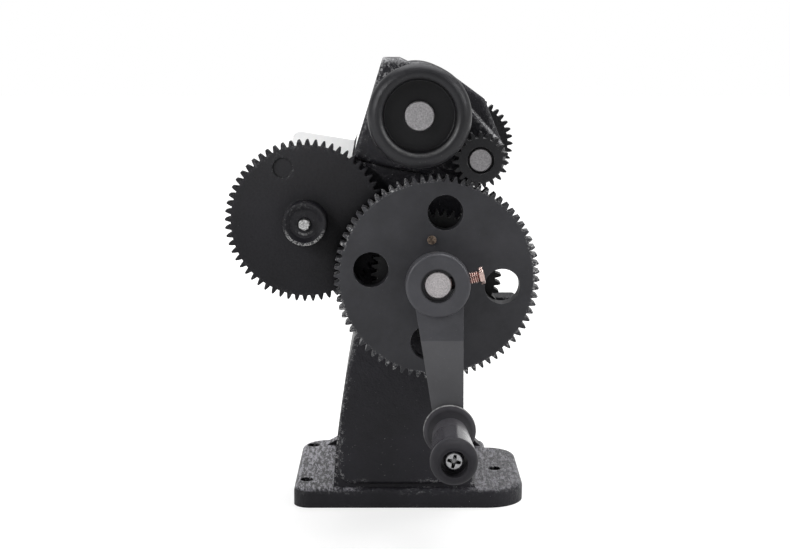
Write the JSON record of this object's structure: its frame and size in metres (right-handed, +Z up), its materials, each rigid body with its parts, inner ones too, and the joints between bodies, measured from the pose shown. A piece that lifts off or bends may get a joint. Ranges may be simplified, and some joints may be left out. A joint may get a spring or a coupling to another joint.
{
  "type": "hand coil winding machine",
  "caption": "Cast-iron bench coil winder: crank on a large gear, geared-up spindle with handwheel and clamping cones, side turns counter.",
  "frame": {"origin": "on the surface the machine stands on, under the middle of the column, 0.9 mm left of the middle of the base's width", "axes": "+X to the right seen from the crank side, +Y from the crank side to the winding end, +Z up"},
  "size_m": [0.1498, 0.3222, 0.224],
  "materials": {
    "black_casting": "black semi-gloss paint over rough cast iron",
    "dark_gear": "dark satin, machined",
    "counter_gear": "black semi-gloss paint",
    "drive_gear": "machined satin",
    "handwheel": "dark grey satin",
    "arm": "dark grey satin",
    "steel": "turned, satin",
    "bronze": "machined bearing bronze",
    "brass": "turned",
    "copper": "copper plated, bright",
    "grip_plastic": "gloss black",
    "chrome": "polished",
    "counter_shell": "silver grey, satin",
    "window": "clear",
    "digits": "matt white",
    "count_gears": "machined"
  },
  "bodies": {
    "frame": {"frame_casting": "black_casting", "crank_front_bush": "bronze", "crank_rear_bush": "bronze", "lay_front_bush": "bronze", "lay_rear_bush": "bronze", "spindle_front_bush": "bronze", "spindle_rear_bush": "bronze", "counter_housing": "counter_shell", "counter_window": "window", "counter_back_plate": "steel", "counter_screws": "steel"},
    "crank": {"crank_shaft": "steel", "crank_gear": "dark_gear", "counter_drive_gear": "drive_gear", "gear_screws": "brass", "crank_arm": "arm", "crank_clamp_screw": "copper", "grip_screw": "chrome", "grip_washer": "steel", "crank_collar": "steel", "collar_set_screw": "steel"},
    "grip": {"grip": "grip_plastic"},
    "lay": {"lay_shaft": "steel", "lay_pinion": "drive_gear", "lay_pinion_set_screw": "steel", "lay_gear": "drive_gear", "lay_gear_set_screw": "steel"},
    "spindle": {"spindle": "steel", "handwheel": "handwheel", "handwheel_set_screw": "steel", "spindle_pinion": "drive_gear", "pinion_set_screw": "steel", "inner_cone": "steel"},
    "outer_cone": {"outer_cone": "steel"},
    "wing_nut": {"wing_nut": "brass"},
    "counter_drive": {"counter_gear": "counter_gear", "counter_gear_set_screw": "steel", "counter_shaft": "steel", "count_input_gear": "count_gears"},
    "units": {"count_units_gear": "count_gears", "digit_wheel_units": "digits"},
    "tens": {"digit_wheel_tens": "digits"},
    "hundreds": {"digit_wheel_hundreds": "digits"},
    "thousands": {"digit_wheel_thousands": "digits"},
    "ten_thousands": {"digit_wheel_ten_thousands": "digits"},
    "reset": {"digit_axle": "steel", "reset_knob": "counter_gear"}
  },
  "joints": [
    {"name": "crank_turn", "type": "hinge", "parent": "frame", "child": "crank", "pos_m": [0.0135, 0, 0.12125], "axis": [0, 1, 0], "continuous": true},
    {"name": "grip_spin", "type": "hinge", "parent": "crank", "child": "grip", "pos_m": [0.01909, 0, 0.05328], "axis": [0, 1, 0], "continuous": true},
    {"name": "lay_turn", "type": "hinge", "parent": "frame", "child": "lay", "pos_m": [0.03381, 0, 0.17704], "axis": [0, 1, 0], "continuous": true},
    {"name": "spindle_turn", "type": "hinge", "parent": "frame", "child": "spindle", "pos_m": [0.00502, 0, 0.19803], "axis": [0, 1, 0], "continuous": true},
    {"name": "counter_turn", "type": "hinge", "parent": "frame", "child": "counter_drive", "pos_m": [-0.04884, 0, 0.14714], "axis": [0, 1, 0], "continuous": true},
    {"name": "units_turn", "type": "hinge", "parent": "frame", "child": "units", "pos_m": [-0.04548, 0, 0.16685], "axis": [0, 1, 0], "continuous": true},
    {"name": "tens_turn", "type": "hinge", "parent": "frame", "child": "tens", "pos_m": [-0.04548, 0, 0.16685], "axis": [0, 1, 0], "continuous": true},
    {"name": "hundreds_turn", "type": "hinge", "parent": "frame", "child": "hundreds", "pos_m": [-0.04548, 0, 0.16685], "axis": [0, 1, 0], "continuous": true},
    {"name": "thousands_turn", "type": "hinge", "parent": "frame", "child": "thousands", "pos_m": [-0.04548, 0, 0.16685], "axis": [0, 1, 0], "continuous": true},
    {"name": "ten_thousands_turn", "type": "hinge", "parent": "frame", "child": "ten_thousands", "pos_m": [-0.04548, 0, 0.16685], "axis": [0, 1, 0], "continuous": true},
    {"name": "reset_turn", "type": "hinge", "parent": "frame", "child": "reset", "pos_m": [-0.04548, 0, 0.16685], "axis": [0, 1, 0], "continuous": true},
    {"name": "outer_cone_slide", "type": "slide", "parent": "spindle", "child": "outer_cone", "axis": [0, 1, 0], "range_m": [-0.0215, 0.014]},
    {"name": "wing_nut_turn", "type": "hinge", "parent": "outer_cone", "child": "wing_nut", "pos_m": [0.00502, 0, 0.19803], "axis": [0, 1, 0], "continuous": true}
  ],
  "couplings": [
    {"joint": "lay_turn", "follows": "crank_turn", "ratio": -4},
    {"joint": "spindle_turn", "follows": "crank_turn", "ratio": 8},
    {"joint": "counter_turn", "follows": "crank_turn", "ratio": -0.8},
    {"joint": "units_turn", "follows": "crank_turn", "ratio": 0.8},
    {"joint": "tens_turn", "follows": "crank_turn", "ratio": 0.08},
    {"joint": "hundreds_turn", "follows": "crank_turn", "ratio": 0.008},
    {"joint": "thousands_turn", "follows": "crank_turn", "ratio": 0.0008},
    {"joint": "ten_thousands_turn", "follows": "crank_turn", "ratio": 0.00008}
  ]
}
